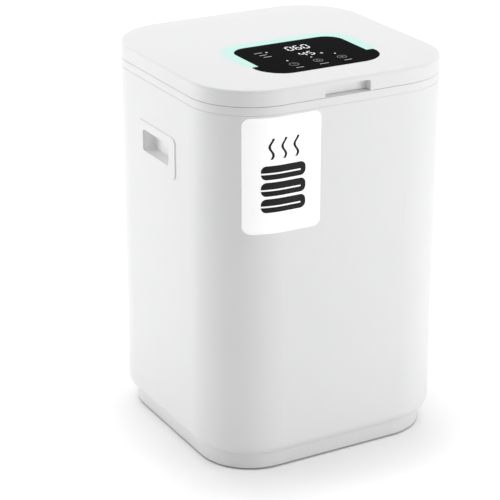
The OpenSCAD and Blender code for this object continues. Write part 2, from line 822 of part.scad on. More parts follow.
module cord_gland() color("black") translate([gland_x, 0, gland_z]) rotate([-90, 0, 0]) difference() {
    union() {
        translate([0, 0, half_d - shell_wall - gland_nut_t - 2])
            cylinder(r = gland_r, h = shell_wall + gland_nut_t + 2 + 0.5);
        translate([0, 0, half_d]) cylinder(r = gland_flange_r, h = gland_flange_t);
    }
    translate([0, 0, half_d - 20]) cylinder(r = gland_bore_r, h = 40);
}

module gland_nut() color("dimgray") translate([gland_x, half_d - shell_wall, gland_z])
    rotate([90, 0, 0]) difference() {
        cylinder(r = gland_nut_r, h = gland_nut_t, $fn = 6);
        translate([0, 0, -over]) cylinder(r = gland_r + pin_gap, h = gland_nut_t + 2 * over);
    }

// Grip on the right side: frame outside, finger pocket that rises behind its mouth
module handle() {
    back_x = half_w - pocket_depth;
    difference() {
        union() {
            translate([half_w, handle_y, handle_z]) rotate([90, 0, 90])
                swept(bezel_w, bezel_h, bezel_r, 0, bezel_t) plate_side(bezel_r, 0, bezel_t, 0.4 * bezel_t);
            block([back_x - cup_wall, handle_y - pocket_w / 2 - cup_wall, pocket_z - pocket_h / 2 - cup_wall],
                  [half_w + 0.2, handle_y + pocket_w / 2 + cup_wall,
                   pocket_z + pocket_h / 2 + cup_wall + grip_rise]);
            handle_screw_places() translate([0, 0, 0.2 - shell_wall])
                cylinder(r = handle_boss_r, h = shell_wall);
        }
        translate([back_x, handle_y, pocket_z]) rotate([90, 0, 90])
            linear_extrude(pocket_depth + bezel_t + over) round_rect(pocket_w, pocket_h, pocket_r);
        block([back_x, handle_y - pocket_w / 2, pocket_z],
              [half_w - shell_wall - cup_wall, handle_y + pocket_w / 2, pocket_z + pocket_h / 2 + grip_rise]);
        handle_screw_places() translate([0, 0, -shell_wall - over])
            cylinder(r = small_r + pin_gap, h = small_l + over);
    }
}

module handle_right() color("white") handle();

module handle_left() color("white") mirror([1, 0, 0]) handle();

module handle_screws() color("silver") for (side = [0, 1]) mirror([side, 0, 0])
    handle_screw_places() translate([0, 0, -shell_wall]) screw(small_l, small_r, washer_r);

module bucket_screws() color("silver") bucket_screw_places()
    translate([0, 0, plate_z - bucket_wall]) screw(small_l, small_r, washer_r);

module rim_screws() color("silver") rim_screw_places()
    translate([0, 0, rim_z - tower_h]) screw(tower_h + 4.5);

module base_screws() color("silver") base_screw_places()
    translate([0, 0, shell_z - base_screw_seat]) screw(base_screw_l);

module hinge_pins() color("silver") for (s = [-1, 1]) {
    axle(s * hinge_x - pin_reach, s * hinge_x + pin_reach, pin_r);
}

// Region outside a rounded corner whose arc is centred on the origin
module corner_waste(r) {
    difference() {
        square([r + over, r + over]);
        circle(r = r + slip_gap);
    }
}

// Thin label on the front, wrapped round the left corner
module front_label() color("snow") difference() {
    label_z = rim_z - label_drop - label_h;
    left = -half_w + corner_r - corner_r * sin(label_turn);
    right = -half_w + corner_r + label_flat;
    low = label_z - over;
    high = label_z + label_h + over;
    body_ring(-pin_gap - label_t, label_t, label_z, label_h);
    block([right, -half_d - over, low], [half_w + over, half_d + over, high]);
    block([-half_w - over, -half_d - over, low], [left, half_d + over, high]);
    block([-half_w - over, 0, low], [half_w + over, half_d + over, high]);
    translate([0, 0, label_z + label_h / 2]) rotate([90, 0, 0]) linear_extrude(half_d + over)
        for (s = [0, 1]) mirror([0, s, 0]) {
            translate([right - label_r, label_h / 2 - label_r]) corner_waste(label_r);
            translate([left + label_r, label_h / 2 - label_r]) mirror([1, 0, 0]) corner_waste(label_r);
        }
}

/* Lid pieces */

// Plan of the glass, grown by g
module panel_plan(g) {
    panel_rect(panel_w / 2 + g, panel_y - g, panel_y + panel_d + g, panel_front_r + g, panel_back_r + g);
    panel_rect(wing_w / 2 + g, panel_y - g, hook_y + g, panel_front_r + g, hook_r + g);
}

// Plan of the light strip round three sides, moved in by near and out by far
module guide_plan(near, far, front) {
    side = guide_x + side_w + far;
    back = guide_back + guide_w + far;
    difference() {
        translate([-side, front]) square([2 * side, guide_back - panel_back_r - front]);
        panel_rect(guide_x - near, panel_y, guide_back - near, panel_front_r, panel_back_r - near);
    }
    difference() {
        panel_rect(side, panel_y, back, panel_front_r, panel_back_r + side_w + far);
        panel_rect(guide_x - near, panel_y, guide_back - near, panel_front_r, panel_back_r - near);
        translate([-side - over, panel_y - over])
            square([2 * (side + over), guide_back - panel_back_r - panel_y + over]);
    }
}

// Three stretches where the strip's stem reaches down through the cover
module stem_places(g) {
    for (s = [-1, 1]) {
        translate([s * (guide_x + side_w / 2) - side_stem_w / 2 - g, hook_y + stem_start - g])
            square([side_stem_w + 2 * g, side_stem_l + 2 * g]);
    }
    translate([-back_stem_l / 2 - g, guide_back + (guide_w - back_stem_w) / 2 - g])
        square([back_stem_l + 2 * g, back_stem_w + 2 * g]);
}

module trunnion_block() {
    block([block_start, hinge_y - block_depth, hinge_z - block_drop],
          [trunnion_end, hinge_y, hinge_z + block_rise]);
}

// Long shallow bed, curved both across and along, that is cut into the lid's slow curve
module thumb_hollow() {
    along_r = (pow(scoop_w / 2, 2) + pow(scoop_depth, 2)) / (2 * scoop_depth);
    drop = crown_r - sqrt(pow(crown_r, 2) - pow(crown_run + edge_r - scoop_setback, 2));
    translate([0, -half_d + scoop_setback, top_z - drop - scoop_depth + scoop_r]) rotate([0, 90, 0])
        rotate_extrude($fn = 360) intersection() {
            translate([scoop_r - along_r, 0]) circle(r = along_r, $fn = 1440);
            translate([0, -scoop_w]) square([scoop_r + over, 2 * scoop_w]);
        }
}

module lid_cover() color("white") difference() {
    union() {
        difference() {
            body_swept(0, lid_z, top_z) lid_side(0, lid_z);
            body_swept(0, lid_z - over, top_z - lid_wall) lid_side(lid_wall, lid_z - over);
        }
        intersection() {
            union() {
                translate([0, 0, frame_z]) linear_extrude(top_z - frame_z - 1) panel_rect(
                    wing_w / 2 + panel_edge, panel_y - 6, panel_y + panel_d + guide_w + panel_edge,
                    panel_front_r, panel_back_r + side_w + panel_edge);
                translate([0, 0, board_top]) linear_extrude(top_z - board_top - 2)
                    at_corners(board_x - board_screw_in, board_y0 + board_screw_in, board_y1 - board_screw_in)
                        circle(r = lid_boss_r);
                liner_screw_places() translate([0, 0, liner_top]) cylinder(r = lid_boss_r, h = lid_h);
                block([-notch_w / 2 - 2, -half_d, lid_z], [notch_w / 2 + 2, -half_d + notch_depth + 2,
                      lid_z + notch_h + 2]);
            }
            body_swept(0, lid_z, top_z - 1) lid_side(1, lid_z);
        }
        for (s = [-1, 1]) {
            axle(s * hinge_x - knuckle_w / 2, s * hinge_x + knuckle_w / 2, barrel_r);
            block([s * hinge_x - knuckle_w / 2, hinge_y - arm_depth, hinge_z],
                  [s * hinge_x + knuckle_w / 2, hinge_y, hinge_z + arm_rise]);
        }
        axle(harness_gap, trunnion_end, barrel_r);
        trunnion_block();
    }
    for (s = [-1, 1]) {
        for (e = [-1, 1]) {
            middle = s * hinge_x + e * (knuckle_w + ear_w + 2 * fit_gap) / 2;
            axle(middle - ear_w / 2 - fit_gap, middle + ear_w / 2 + fit_gap, barrel_clear_r);
        }
        axle(s * hinge_x - knuckle_w, s * hinge_x + knuckle_w, pin_r + pin_gap);
    }
    axle(-trunnion_end - fit_gap, 0, barrel_clear_r);
    axle(-over, harness_x + harness_r + 1, harness_r + harness_gap);
    translate([harness_x, hinge_y, hinge_z]) rotate([45, 0, 0])
        cylinder(r = harness_r + 2 * harness_gap, h = 20);
    translate([0, 0, glass_z]) linear_extrude(glass_t + over) {
        panel_plan(slip_gap);
        guide_plan(fit_gap, slip_gap, hook_y);
    }
    translate([0, 0, frame_z - over]) linear_extrude(top_z - frame_z)
        panel_rect(panel_w / 2 - window_in, panel_y + window_in, panel_y + panel_d - window_in,
                   panel_front_r - window_in, panel_back_r - window_in);
    translate([0, 0, frame_z - over]) linear_extrude(top_z - frame_z) stem_places(slip_gap);
    translate([0, -half_d - over, lid_z + notch_h / 2 - over]) rotate([-90, 0, 0])
        linear_extrude(notch_depth + over) round_rect(notch_w, notch_h + 2 * over, notch_r);
    thumb_hollow();
    at_corners(board_x - board_screw_in, board_y0 + board_screw_in, board_y1 - board_screw_in)
        translate([0, 0, board_top - over]) cylinder(r = thread_r + pin_gap, h = 5 + over);
    liner_screw_places() translate([0, 0, liner_top - over]) cylinder(r = thread_r + pin_gap, h = 7 + over);
}

module lid_liner() color("whitesmoke") difference() {
    union() {
        body_plate(liner_in, liner_z, liner_t);
        body_swept(tub_in, tub_z, liner_top) tub_side(corner_r - tub_in, tub_z, liner_top, 5);
    }
    body_swept(tub_in + tub_wall, tub_z + tub_wall, liner_top + over)
        tub_side(corner_r - tub_in - tub_wall, tub_z + tub_wall, liner_top + over, 3);
    body_ring(gasket_in - slip_gap, gasket_w + 2 * slip_gap, liner_z - over, gasket_groove + over);
    block([-notch_w / 2 - 2 - fit_gap, -half_d, liner_z - over],
          [notch_w / 2 + 2 + fit_gap, -half_d + notch_depth + 2 + fit_gap, liner_top + over]);
    for (s = [-1, 1]) {
        block([s * hinge_x - knuckle_w / 2 - ear_w - 3 * fit_gap, hinge_y - barrel_clear_r, liner_z - over],
              [s * hinge_x + knuckle_w / 2 + ear_w + 3 * fit_gap, hinge_y, liner_top + over]);
    }
    block([-trunnion_end - 2 * fit_gap, hinge_y - barrel_clear_r, liner_z - over],
          [trunnion_end + fit_gap, hinge_y, liner_top + over]);
    block([block_start - fit_gap, hinge_y - block_depth - fit_gap, liner_z - over],
          [trunnion_end + fit_gap, hinge_y, liner_top + over]);
    liner_screw_places() {
        translate([0, 0, liner_z - over]) cylinder(r = thread_r + slip_gap, h = liner_t + 2 * over);
        translate([0, 0, liner_z - over]) cylinder(r = head_r + fit_gap, h = liner_sink + over);
    }
}

module lid_gasket() color("gray")
    body_ring(gasket_in, gasket_w, rim_top + fit_gap, gasket_t);

module lid_insulation() color("khaki")
    body_plate(tub_in + tub_wall + lid_wool_gap, tub_z + tub_wall, lid_wool_t);

module liner_screws() color("silver") liner_screw_places()
    translate([0, 0, liner_z + liner_sink]) screw(liner_t + liner_bite, thread_r, head_r, liner_head_h);

module light_guide() color("aquamarine") {
    translate([0, 0, glass_z]) linear_extrude(glass_t) guide_plan(0, 0, hook_y + fit_gap);
    translate([0, 0, stem_z]) linear_extrude(glass_z - stem_z + 0.5) stem_places(0);
}

module control_glass() color([0.05, 0.05, 0.06])
    translate([0, 0, glass_z]) linear_extrude(glass_t) panel_plan(0);

module display_board() color("darkgreen") difference() {
    translate([0, 0, board_top - board_t]) linear_extrude(board_t)
        panel_rect(board_x, board_y0, board_y1, 6, 6);
    at_corners(board_x - board_screw_in, board_y0 + board_screw_in, board_y1 - board_screw_in)
        translate([0, 0, board_top - board_t - over])
            cylinder(r = thread_r + slip_gap, h = board_t + 2 * over);
}

// One block with raised segments for each row of digits
module display_modules() color("black") for (row = [0, 1]) {
    w = digit_count[row] * digit_w + 4;
    translate([digit_row_x[row] - w / 2, digit_row_y[row] - digit_h / 2, board_top])
        cube([w, digit_h, glass_z - board_top - fit_gap - 0.5]);
    for (i = [0 : digit_count[row] - 1], k = [-1 : 1]) {
        translate([digit_row_x[row] + (i - (digit_count[row] - 1) / 2) * digit_w - segment_l / 2,
                   digit_row_y[row] + k * segment_pitch - segment_w / 2, glass_z - fit_gap - segment_rise])
            cube([segment_l, segment_w, segment_rise]);
    }
}

// Springs that carry the touch from the glass down to the board
module touch_springs() color("silver") for (i = [-1 : 1]) {
    translate([i * key_pitch, key_y, board_top]) {
        cylinder(r = spring_foot_r, h = spring_plate_t);
        cylinder(r = spring_r, h = glass_z - board_top);
        translate([0, 0, glass_z - board_top - spring_plate_t])
            cylinder(r = spring_head_r, h = spring_plate_t);
    }
}

module guide_leds() color("lightyellow") {
    for (s = [-1, 1], i = [0 : 2]) {
        translate([s * (guide_x + side_w / 2) - led_w / 2, hook_y + stem_start + 2 + led_pitch * i,
                   board_top])
            cube([led_w, led_w, led_h]);
    }
    for (i = [-2 : 2]) {
        translate([i * 1.5 * led_pitch - led_w / 2, guide_back + (guide_w - led_w) / 2, board_top])
            cube([led_w, led_w, led_h]);
    }
}

module buzzer() color("black") translate([-50, panel_y + 40, board_top - board_t - 4]) difference() {
    cylinder(r = 5, h = 4);
    translate([0, 0, -over]) cylinder(r = 1, h = 2);
}

module display_screws() color("silver")
    at_corners(board_x - board_screw_in, board_y0 + board_screw_in, board_y1 - board_screw_in)
        translate([0, 0, board_top - board_t]) screw(board_t + 4);

// Wire bundle from the hinge axis to the display board
module lid_harness() color("dimgray") {
    rise = 10.9;
    plug_y = board_y1 - 2;
    run([[harness_gap / 3, hinge_y, hinge_z], [harness_x, hinge_y, hinge_z],
         [harness_x, hinge_y - rise, hinge_z + rise], [harness_x, plug_y, hinge_z + rise]], harness_r);
    block([harness_x - 9, plug_y - 12, hinge_z + rise - 2.5], [harness_x + 9, plug_y, board_top - board_t]);
}

outer_shell();
base_tray();
foot_ring();
rim_frame();
inner_bucket();
side_heater();
bottom_heater();
bottom_insulation();
heater_cover();
stud_nuts();
insulation_jacket();
bucket_pads();
thermostat();
thermal_fuse();
temperature_sensor();
power_board();
transformer();
relay();
terminal_block();
power_board_screws();
heater_leads();
body_harness();
cord_gland();
gland_nut();
handle_left();
handle_right();
handle_screws();
bucket_screws();
rim_screws();
base_screws();
hinge_pins();
front_label();
lid_cover();
lid_liner();
lid_gasket();
lid_insulation();
liner_screws();
light_guide();
control_glass();
display_board();
display_modules();
touch_springs();
guide_leds();
buzzer();
display_screws();
lid_harness();
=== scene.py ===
import json
import math

import bmesh
import bpy
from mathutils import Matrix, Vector


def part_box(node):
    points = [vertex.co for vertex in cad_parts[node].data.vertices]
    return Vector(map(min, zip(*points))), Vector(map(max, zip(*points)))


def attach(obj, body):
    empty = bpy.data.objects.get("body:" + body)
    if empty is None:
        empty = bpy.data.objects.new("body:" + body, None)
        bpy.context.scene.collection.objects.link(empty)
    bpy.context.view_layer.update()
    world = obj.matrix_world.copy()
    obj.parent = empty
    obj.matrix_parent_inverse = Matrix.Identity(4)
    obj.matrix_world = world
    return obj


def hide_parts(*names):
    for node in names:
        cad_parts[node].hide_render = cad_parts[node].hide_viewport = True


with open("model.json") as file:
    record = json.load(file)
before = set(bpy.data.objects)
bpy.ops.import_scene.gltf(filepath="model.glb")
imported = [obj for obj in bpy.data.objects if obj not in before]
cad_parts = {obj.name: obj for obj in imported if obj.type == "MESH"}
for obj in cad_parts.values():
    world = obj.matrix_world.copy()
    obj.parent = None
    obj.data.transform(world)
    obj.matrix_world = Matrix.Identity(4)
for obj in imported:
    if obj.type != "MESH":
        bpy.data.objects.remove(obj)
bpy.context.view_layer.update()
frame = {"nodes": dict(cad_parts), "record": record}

NODES = frame["nodes"]
RECORD = frame["record"]
MM = 0.001


def heights(node):
    """Lowest, middle and highest level of a CAD piece in millimetres."""
    low, high = (corner[2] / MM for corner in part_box(node))
    return low, (low + high) / 2, high


# Sizes of the bucket that the looks follow, in millimetres
HALF_W, HALF_D = 156, 153       # half the outer walls' width and depth
CORNER = 76                     # radius of the upright corners
FOOT_INSET = 11                 # how far the base tray stands in from the outer walls
GRIP_HALF, GRIP_RISE = 50, 30   # half the length and height round a grip
GLASS_LOW, _, LID_TOP = heights("control_glass")
LABEL_MIDDLE = heights("front_label")[1]
GRIP_MIDDLE = heights("handle_left")[1]

# The panel: its back and front edge, the step where the wings start, its half widths and its corners
PANEL_BACK, PANEL_FRONT, HOOK = -5.5, -116.5, -78.5
PANEL_HALF, WING_HALF = 70, 79
BACK_ROUND, FRONT_ROUND, HOOK_ROUND = 22, 34, 2.5
STRIP_OUT, HALO_ROUND = 9.3, 31  # width of the lit strip, corner radius of its outer edge
PANEL_REACH = 120                # half length of the box whose back end stands for the panel's
MARK_RISE = 0.06                 # thickness of the printed signs


# Camera and lamps

LAMP_AIM = Vector((0, 0, 0.24))  # point near the bucket's middle that every lamp faces


def photo_camera():
    """Long lens from the front left, looking about 22 degrees down."""
    data = bpy.data.cameras.new("photo_camera")
    data.sensor_width = 36
    data.lens = 135.5
    camera = bpy.data.objects.new("photo_camera", data)
    camera.location = (-1.0466, -1.8184, 1.0518)
    tilt, turn = 21.955, 29.033
    camera.rotation_euler = (math.radians(90 - tilt), 0, math.radians(-turn))
    bpy.context.scene.collection.objects.link(camera)
    bpy.context.scene.camera = camera


def soft_box(name, place, width, height, power):
    """Rectangular studio lamp that faces the middle of the bucket."""
    lamp = bpy.data.lights.new(name, "AREA")
    lamp.shape = "RECTANGLE"
    lamp.size, lamp.size_y = width, height
    lamp.energy = power
    holder = bpy.data.objects.new(name, lamp)
    holder.location = place
    aim = LAMP_AIM - Vector(place)
    holder.rotation_euler = aim.to_track_quat("-Z", "Y").to_euler()
    bpy.context.scene.collection.objects.link(holder)


def studio_lights():
    """Main light from the back left, weaker ones from the right and front, a broad one above."""
    soft_box("left_window", (-1.35, 0.92, 0.4), 0.9, 0.8, 8.7)
    soft_box("right_window", (0.72, -0.95, 0.5), 0.5, 0.8, 3.8)
    soft_box("front_fill", (0.7, -2.4, 0.35), 1.2, 0.8, 4.6)
    soft_box("overhead", (0.2, 0.75, 2.3), 1.8, 1.8, 22.5)


# Materials: Python expressions on values add Math nodes, every other node comes from Paint.node

class Wire:
    """A value in a material that operators combine."""

    def __init__(self, paint, socket):
        self.paint, self.socket = paint, socket

    def other(self, key):
        """Another output of the same node."""
        return Wire(self.paint, self.socket.node.outputs[key])

    def __add__(self, other):
        return self.paint.math("ADD", self, other)

    def __sub__(self, other):
        return self.paint.math("SUBTRACT", self, other)

    def __rsub__(self, other):
        return self.paint.math("SUBTRACT", other, self)

    def __mul__(self, other):
        return self.paint.math("MULTIPLY", self, other)

    def __truediv__(self, other):
        return self.paint.math("DIVIDE", self, other)

    def __gt__(self, other):
        return self.paint.math("GREATER_THAN", self, other)

    def __lt__(self, other):
        return self.paint.math("LESS_THAN", self, other)

    def __abs__(self):
        return self.paint.math("ABSOLUTE", self)

    __radd__ = __add__
    __rmul__ = __mul__


class Paint:
    """One material, its shader and the nodes that feed it."""

    @classmethod
    def on(cls, tree):
        """Paint for a node tree that is already there, such as the world's."""
        paint = cls.__new__(cls)
        paint.tree = tree
        return paint

    def __init__(self, name, **constants):
        self.material = bpy.data.materials.new(name)
        self.material.use_nodes = True
        self.tree = self.material.node_tree
        self.shader = self.tree.nodes["Principled BSDF"]
        for socket, value in constants.items():
            self.shader.inputs[socket.replace("_", " ")].default_value = value

    def node(self, kind, settings=None, inputs=None, out=0):
        """New node: its settings first, then the values or links of its sockets."""
        made = self.tree.nodes.new("ShaderNode" + kind)
        for key, value in (settings or {}).items():
            setattr(made, key, value)
        for key, value in (inputs or {}).items():
            self.feed(made.inputs[key], value)
        return Wire(self, made.outputs[out])

    def feed(self, socket, value):
        """Links a wire to a socket, or sets its number, colour or vector."""
        if isinstance(value, Wire):
            self.tree.links.new(value.socket, socket)
        elif socket.type == "RGBA":
            socket.default_value = (*value, 1)
        else:
            socket.default_value = value

    def set(self, **sockets):
        """Feeds sockets of the shader, by their names with _ for each space."""
        for name, value in sockets.items():
            self.feed(self.shader.inputs[name.replace("_", " ")], value)
        return self

    def math(self, kind, *values):
        return self.node("Math", {"operation": kind}, dict(enumerate(values)))

    def larger(self, a, b):
        return self.math("MAXIMUM", a, b)

    def smaller(self, a, b):
        return self.math("MINIMUM", a, b)

    def fade(self, value, start, end):
        """0 before start and 1 past end, with a soft change between them."""
        return self.node("MapRange", {"interpolation_type": "SMOOTHSTEP"},
                         {0: value, 1: start, 2: end, 3: 0.0, 4: 1.0})

    def mix(self, factor, a, b):
        return self.node("Mix", {"data_type": "RGBA"}, {0: factor, 6: a, 7: b}, 2)

    def place(self, stretch=(1, 1, 1)):
        """Place on the object in millimetres, stretched along X, Y and Z."""
        here = self.node("TexCoord", out=3)
        return self.node("VectorMath", {"operation": "MULTIPLY"},
                         {0: here, 1: tuple(s / MM for s in stretch)})

    def split(self):
        """X, Y and Z in millimetres."""
        x = self.node("SeparateXYZ", None, {0: self.place()})
        return x, x.other(1), x.other(2)

    def ripple(self, value, length):
        """Triangle wave along a value: 0 in the middle of each length and 1 at its ends."""
        return abs(self.math("FRACT", value / length) - 0.5) * 2

    def noise(self, size, detail=2.0, stretch=(1, 1, 1), roughness=0.5):
        """Noise from 0 to 1 whose patches are about size millimetres wide."""
        return self.node("TexNoise", None, {"Vector": self.place(stretch), "Scale": 1.0 / size,
                                            "Detail": detail, "Roughness": roughness})

    def bump(self, height, depth, strength=1.0):
        """Relief of a height that runs from 0 to 1 over depth millimetres."""
        lifted = self.node("Bump", None, {"Height": height, "Distance": depth * MM, "Strength": strength})
        return self.set(Normal=lifted)

    def white_rays(self):
        """1 for camera, glossy and transmission rays, 0 for light that falls on the object."""
        camera = self.node("LightPath", out="Is Camera Ray")
        seen = camera + camera.other("Is Glossy Ray") + camera.other("Is Transmission Ray")
        return self.smaller(seen, 1.0)

    def box_distance(self, u, v, centre, half, radius):
        """Distance outside a rounded rectangle on a plane, negative inside."""
        du = abs(u - centre[0]) - (half[0] - radius)
        dv = abs(v - centre[1]) - (half[1] - radius)
        out_u, out_v = self.larger(du, 0.0), self.larger(dv, 0.0)
        corner = self.math("SQRT", out_u * out_u + out_v * out_v)
        return corner + self.smaller(self.larger(du, dv), 0.0) - radius


# Floor and background

def studio_floor():
    """Pale floor that stays white to the camera and keeps the object's shadow; its glow is withheld under
    the tray and weak near it, a painted shadow round the bucket.
    """
    mesh = bpy.data.meshes.new("floor")
    reach = 9
    corners = [(-reach, -reach, 0), (reach, -reach, 0), (reach, reach, 0), (-reach, reach, 0)]
    mesh.from_pydata(corners, [], [(0, 1, 2, 3)])
    floor = bpy.data.objects.new("floor", mesh)
    bpy.context.scene.collection.objects.link(floor)
    paint = Paint("floor_paper")
    x, y, _ = paint.split()
    foot = (HALF_W - FOOT_INSET, HALF_D - FOOT_INSET)
    away = paint.box_distance(x, y, (0, 0), foot, CORNER - FOOT_INSET)
    # Painted shadow: no glow under the tray and little near it, so the floor darkens under and around the
    # bucket
    clear = paint.fade(away, -1.5, 0.5) * (0.24 + paint.fade(away, 10, 240) * 0.5)
    lit = paint.node("BsdfDiffuse", None, {"Color": (0.82, 0.82, 0.82)})
    shine = paint.mix(paint.white_rays() * clear, (0.0, 0.0, 0.0), (1.0, 1.0, 1.0))
    glow = paint.node("Emission", None, {"Color": shine, "Strength": 1.0})
    both = paint.node("AddShader", None, {0: lit, 1: glow})
    paint.feed(paint.tree.nodes["Material Output"].inputs[0], both)
    mesh.materials.append(paint.material)


def studio_world():
    """Even grey light, with a white background for what the camera and gloss see."""
    world = bpy.data.worlds.new("studio")
    world.use_nodes = True
    paint = Paint.on(world.node_tree)
    shade = paint.mix(paint.white_rays(), (0.5, 0.5, 0.5), (1.0, 1.0, 1.0))
    paint.feed(paint.tree.nodes["Background"].inputs["Color"], shade)
    bpy.context.scene.world = world


# Finishes

def moulded_white(paint):
    """Satin white of shell and lid, with a spark-eroded grain too fine to see from a step away."""
    broad = paint.noise(70, 3.0)
    fine = paint.noise(0.45, 2.0)
    paint.set(Roughness=broad * 0.08 + fine * 0.05 + 0.36)
    paint.bump(fine, 0.012, 0.6)
    return paint.mix(broad, (0.845, 0.848, 0.850), (0.870, 0.871, 0.870))


def white_moulding():
    """Shell, rim and grips; the grips' pockets are painted a lighter white, painted light against the shade
    inside them, because they come out darker than in the photo.
    """
    paint = Paint("white_plastic", IOR=1.46)
    x, y, z = paint.split()
    inside = 1 - paint.fade(abs(x), HALF_W - 1.5, HALF_W - 0.2)
    # Painted light: a lighter white inside the grip pockets offsets the shade there
    pocket_painted_light = inside * (abs(y) < GRIP_HALF) * (abs(z - GRIP_MIDDLE) < GRIP_RISE)
    return paint.set(Base_Color=paint.mix(pocket_painted_light, moulded_white(paint), (0.95, 0.95, 0.95)))


def panel_distance(paint, x, y, grow, radius):
    """Distance outside the panel's back end once that has grown on every side."""
    middle = (0, PANEL_BACK + grow - PANEL_REACH)
    return paint.box_distance(x, y, middle, (PANEL_HALF + grow, PANEL_REACH), radius)


def lid_moulding():
    """The same moulding, with the mint light that spreads from the strip into its edge painted on as colour
    and a faint glow: painted light.
    """
    paint = Paint("lid_plastic", IOR=1.46, Emission_Strength=1.0)
    x, y, z = paint.split()
    away = panel_distance(paint, x, y, STRIP_OUT, HALO_ROUND)
    # Painted light: the strip's mint light on the lid's edge is painted into its colour and a faint glow of
    # its own
    painted_glow = 1 - paint.fade(away, -1.0, 13.0)
    painted_glow = painted_glow * paint.fade(y, HOOK - 7, HOOK + 9) * paint.fade(z, LID_TOP - 9, LID_TOP - 5)
    return paint.set(Base_Color=paint.mix(painted_glow, moulded_white(paint), (0.57, 0.79, 0.73)),
                     Emission_Color=paint.mix(painted_glow, (0.0, 0.0, 0.0), (0.07, 0.10, 0.09)))


def base_moulding():
    """Base tray: the same white painted a little darker as painted shade, darker still in patches towards
    the floor.
    """
    paint = Paint("base_plastic", IOR=1.46)
    z = paint.split()[2]
    tray_patches = paint.noise(9, 4.0, (1, 1, 0.25))
    low = 1 - paint.fade(z, 2, 14)
    fine = paint.noise(0.6, 2.0)
    # Painted shade: the tray's white is darker than the shell's; it darkens further in patches towards the
    # floor
    paint.set(Base_Color=paint.mix(low * tray_patches * 0.45, (0.80, 0.80, 0.80), (0.66, 0.65, 0.63)),
              Roughness=0.44 + tray_patches * 0.1)
    return paint.bump(fine, 0.015, 0.6)


def liner_moulding():
    """Inner lid: smooth moulding with faint flow marks."""
    paint = Paint("liner_plastic", IOR=1.46)
    flow = paint.noise(40, 2.0, (1, 0.3, 1))
    paint.set(Base_Color=paint.mix(flow, (0.77, 0.77, 0.76), (0.82, 0.82, 0.81)),
              Roughness=0.26 + flow * 0.12)
    return paint.bump(paint.noise(3, 2.0), 0.01, 0.5)


def rubber(name, dark, light, rough):
    """Matt rubber with a fine grain and faint patches."""
    paint = Paint(name, IOR=1.5)
    grain = paint.noise(0.8, 3.0)
    patches = paint.noise(18, 3.0)
    paint.set(Base_Color=paint.mix(patches, dark, light), Roughness=rough + grain * 0.15)
    return paint.bump(grain, 0.04, 0.7)


def drawn_aluminium():
    """Bucket: satin metal with upright draw marks and a soft cloudiness."""
    paint = Paint("bucket_aluminium", Metallic=1.0)
    marks = paint.noise(0.9, 3.0, (1, 1, 0.012))
    clouds = paint.noise(45, 3.0)
    paint.set(Base_Color=paint.mix(clouds, (0.72, 0.72, 0.73), (0.82, 0.82, 0.83)),
              Roughness=0.30 + marks * 0.14 + clouds * 0.1)
    return paint.bump(marks, 0.012, 0.7)


def sheet_steel(name, dark, light, stretch):
    """Rolled or turned steel, with its marks drawn out along the short stretch."""
    paint = Paint(name, Metallic=1.0)
    marks = paint.noise(0.5, 3.0, stretch)
    clouds = paint.noise(6, 3.0)
    paint.set(Base_Color=paint.mix(clouds, dark, light), Roughness=0.26 + marks * 0.2)
    return paint.bump(marks, 0.006, 0.7)


def heater_film():
    """Orange silicone film with its printed tracks."""
    paint = Paint("heater_film", IOR=1.42)
    track = paint.fade(paint.ripple(paint.split()[2], 9), 0.62, 0.72)
    grain = paint.noise(1.2, 2.0)
    paint.set(Base_Color=paint.mix(track, (0.70, 0.24, 0.04), (0.42, 0.16, 0.06)),
              Roughness=0.5 + grain * 0.1)
    return paint.bump(track + grain * 0.2, 0.08, 0.8)


def wool():
    """Pale needled wool: fibres in two scales."""
    paint = Paint("wool", Sheen_Weight=0.3, Sheen_Roughness=0.6)
    fibres = paint.noise(0.7, 5.0, (1, 1, 0.4), 0.7)
    tufts = paint.noise(7, 4.0)
    paint.set(Base_Color=paint.mix(tufts, (0.66, 0.60, 0.46), (0.84, 0.80, 0.69)),
              Roughness=0.85 + fibres * 0.1)
    return paint.bump(fibres + tufts * 0.8, 0.5, 0.9)


def circuit_board():
    """Green solder mask over copper tracks."""
    paint = Paint("board_green", IOR=1.5, Coat_Weight=0.3, Coat_Roughness=0.15)
    x, y, _ = paint.split()
    lane_x = paint.fade(paint.ripple(x, 3.2), 0.60, 0.68)
    lane_y = paint.fade(paint.ripple(y, 4.1), 0.64, 0.72)
    choice = paint.noise(11, 0.0) > 0.5
    track = lane_x * choice + lane_y * (1 - choice)
    paint.set(Base_Color=paint.mix(track, (0.010, 0.085, 0.035), (0.035, 0.20, 0.085)),
              Roughness=0.32 + track * 0.08)
    return paint.bump(track, 0.035, 0.8)


def hard_plastic(name, dark, light, rough):
    """Small dark or coloured mouldings inside."""
    paint = Paint(name, IOR=1.48)
    patches = paint.noise(5, 3.0)
    grain = paint.noise(0.4, 2.0)
    paint.set(Base_Color=paint.mix(patches, dark, light), Roughness=rough + grain * 0.1)
    return paint.bump(grain, 0.015, 0.6)


def transformer_core():
    """Varnished windings between two flanges."""
    paint = Paint("transformer_core", IOR=1.5, Coat_Weight=0.4, Coat_Roughness=0.2)
    turns = paint.ripple(paint.split()[2], 0.8)
    paint.set(Base_Color=paint.mix(turns, (0.42, 0.30, 0.05), (0.62, 0.48, 0.12)),
              Roughness=0.3 + turns * 0.15)
    return paint.bump(turns, 0.12, 0.8)


def woven_sleeve(name, dark, light):
    """Wire sleeve with a fine crossed braid."""
    paint = Paint(name, IOR=1.45)
    x, y, z = paint.split()
    one = paint.ripple(x + y + z, 1.1)
    two = paint.ripple(x + y - z, 1.1)
    paint.set(Base_Color=paint.mix(one * two, dark, light), Roughness=0.55 + one * 0.1)
    return paint.bump(one + two, 0.08, 0.7)


